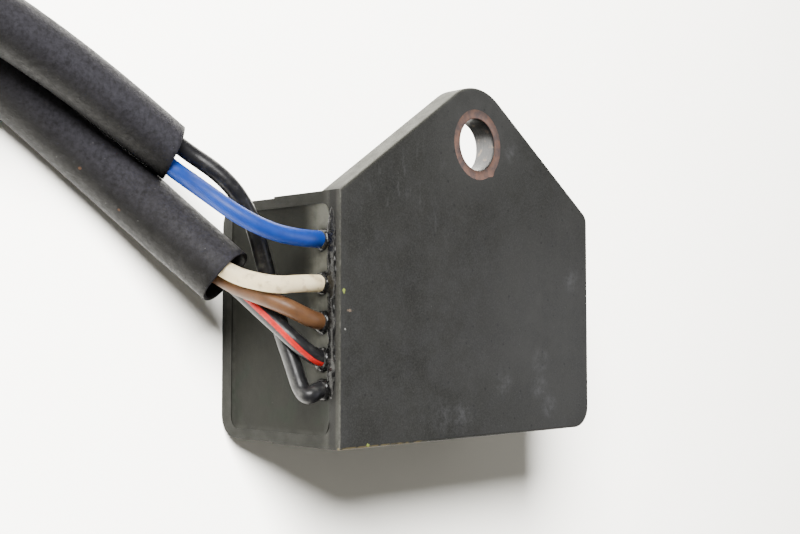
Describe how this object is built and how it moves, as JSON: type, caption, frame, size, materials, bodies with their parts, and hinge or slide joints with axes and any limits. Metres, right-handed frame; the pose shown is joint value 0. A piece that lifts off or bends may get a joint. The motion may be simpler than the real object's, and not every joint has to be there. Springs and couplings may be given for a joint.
{
  "type": "proximity sensor",
  "caption": "Potted block-type proximity sensor with a bushed mounting lug and short leads in two flexible sleeves, each lead ending in a small sealed connector.",
  "frame": {"origin": "centre of the sensor's bounding box, leads left out, on the plane of its sensing face", "axes": "+Z from the sensing face to the mounting face, +Y towards the mounting lug, -X out of the open end that the leads leave by"},
  "size_m": [0.1563, 0.1116, 0.023],
  "materials": {
    "case": "moulded black thermoplastic, dusty and scuffed, paler along worn edges",
    "bush": "turned steel with a rust-coloured outer end ring and a bright bore",
    "potting": "cast dark grey-green resin, semi-gloss",
    "sealant": "glossy black sealant",
    "board": "green glass-fibre circuit board",
    "ferrite": "sintered dark grey ferrite",
    "bobbin": "natural moulded plastic",
    "copper": "enamelled copper",
    "chip": "black moulded packages with tinned feet",
    "capacitor": "tan ceramic with tinned ends",
    "tantalum": "ochre moulded case",
    "solder": "bright tin solder",
    "sleeve": "dark grey flexible PVC sleeve, slightly bluish sheen, dusty",
    "blue": "blue PVC insulation",
    "white": "cream-white PVC insulation, stained",
    "brown": "brown PVC insulation",
    "black_red": "black PVC insulation with a red stripe",
    "black": "glossy black PVC insulation",
    "connector": "black moulded connector body",
    "seal": "rust-red silicone wire seals",
    "terminal": "tin-plated contacts",
    "lock": "natural-coloured terminal lock"
  },
  "bodies": {
    "root": {"housing": "case", "mounting_bush": "bush", "potting_compound": "potting", "wire_exit_sealant": "sealant", "circuit_board": "board", "ferrite_core": "ferrite", "coil_bobbin": "bobbin", "coil_winding": "copper", "coil_leads": "copper", "oscillator_chip": "chip", "smoothing_capacitor": "tantalum", "output_transistors": "chip", "protection_diodes": "chip", "chip_resistors": "chip", "chip_capacitors": "capacitor", "conductor_ends": "copper", "solder_joints": "solder", "upper_sleeve": "sleeve", "lower_sleeve": "sleeve", "blue_wire": "blue", "white_wire": "white", "brown_wire": "brown", "black_red_wire": "black_red", "black_wire": "black", "two_way_connector_body": "connector", "two_way_wire_seals": "seal", "two_way_terminals": "terminal", "two_way_terminal_lock": "lock", "three_way_connector_body": "connector", "three_way_wire_seals": "seal", "three_way_terminals": "terminal", "three_way_terminal_lock": "lock"}
  },
  "joints": []
}
